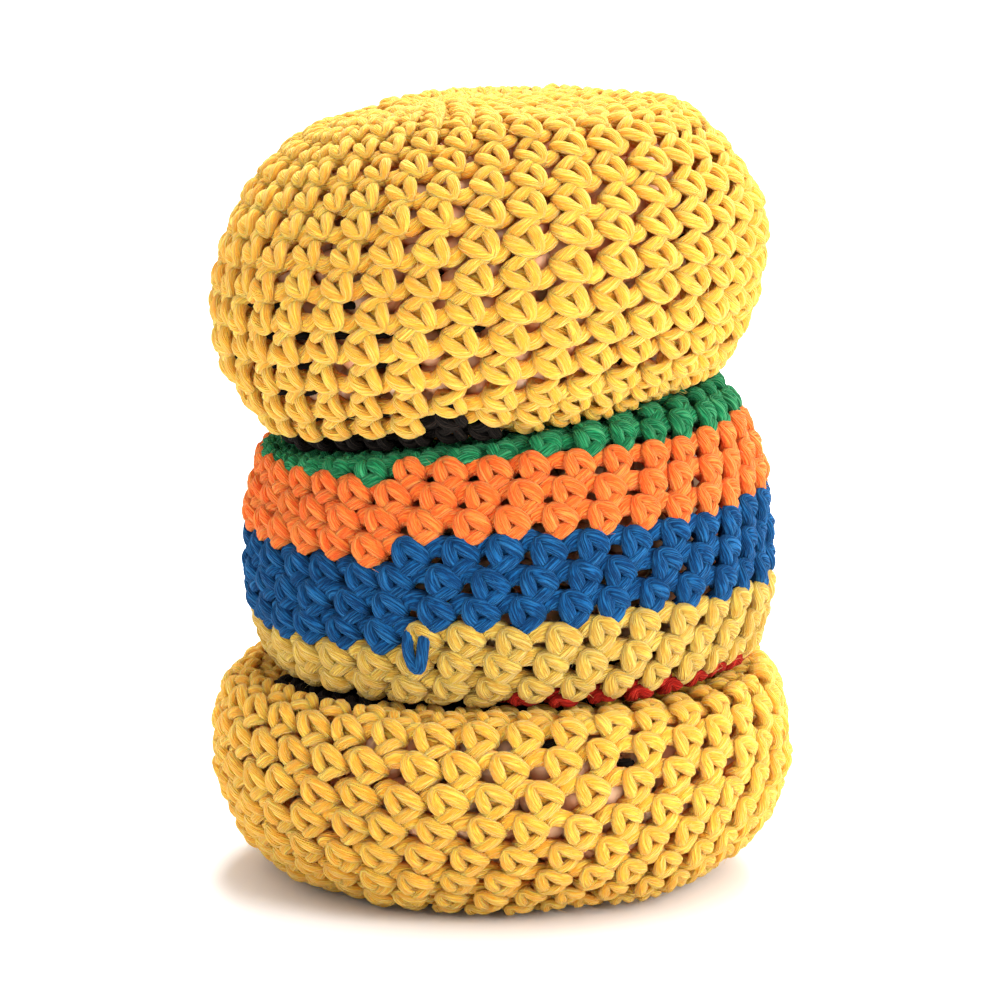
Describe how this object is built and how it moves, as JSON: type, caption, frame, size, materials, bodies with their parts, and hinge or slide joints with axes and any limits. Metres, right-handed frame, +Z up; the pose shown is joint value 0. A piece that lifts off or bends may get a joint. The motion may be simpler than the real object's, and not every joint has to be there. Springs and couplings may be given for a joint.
{
  "type": "footbag set",
  "caption": "Stack of crocheted footbags with pellet filling: a yellow one, a striped one and a yellow one, each a yarn cover that lifts off the one below.",
  "frame": {"origin": "centre of the stack's footprint at the surface it stands on", "axes": "+Z up through the stack, the viewer's side is -Y, and +X is the viewer's right"},
  "size_m": [0.0576, 0.0576, 0.0772],
  "materials": {
    "yellow_yarn": "matte",
    "black_yarn": "matte",
    "green_yarn": "matte",
    "orange_yarn": "matte",
    "blue_yarn": "matte",
    "pale_yellow_yarn": "matte",
    "red_yarn": "matte",
    "pellets": "satin"
  },
  "bodies": {
    "bottom_bag": {"bottom_cover": "yellow_yarn", "bottom_black_panel": "black_yarn", "bottom_carried_strand": "black_yarn", "bottom_pellet_fill": "pellets", "bottom_closing_knot": "yellow_yarn"},
    "middle_bag": {"middle_green_cap": "green_yarn", "middle_orange_band": "orange_yarn", "middle_blue_band": "blue_yarn", "middle_pale_band": "pale_yellow_yarn", "middle_red_cap": "red_yarn", "middle_pellet_fill": "pellets", "middle_closing_knot": "red_yarn"},
    "top_bag": {"top_cover": "yellow_yarn", "top_black_panel": "black_yarn", "top_carried_strand": "black_yarn", "top_pellet_fill": "pellets", "top_closing_knot": "yellow_yarn"}
  },
  "joints": [
    {"name": "middle_lift", "type": "slide", "parent": "bottom_bag", "child": "middle_bag", "axis": [0, 0, 1], "range_m": [0, 0.04]},
    {"name": "top_lift", "type": "slide", "parent": "middle_bag", "child": "top_bag", "axis": [0, 0, 1], "range_m": [0, 0.04]}
  ]
}
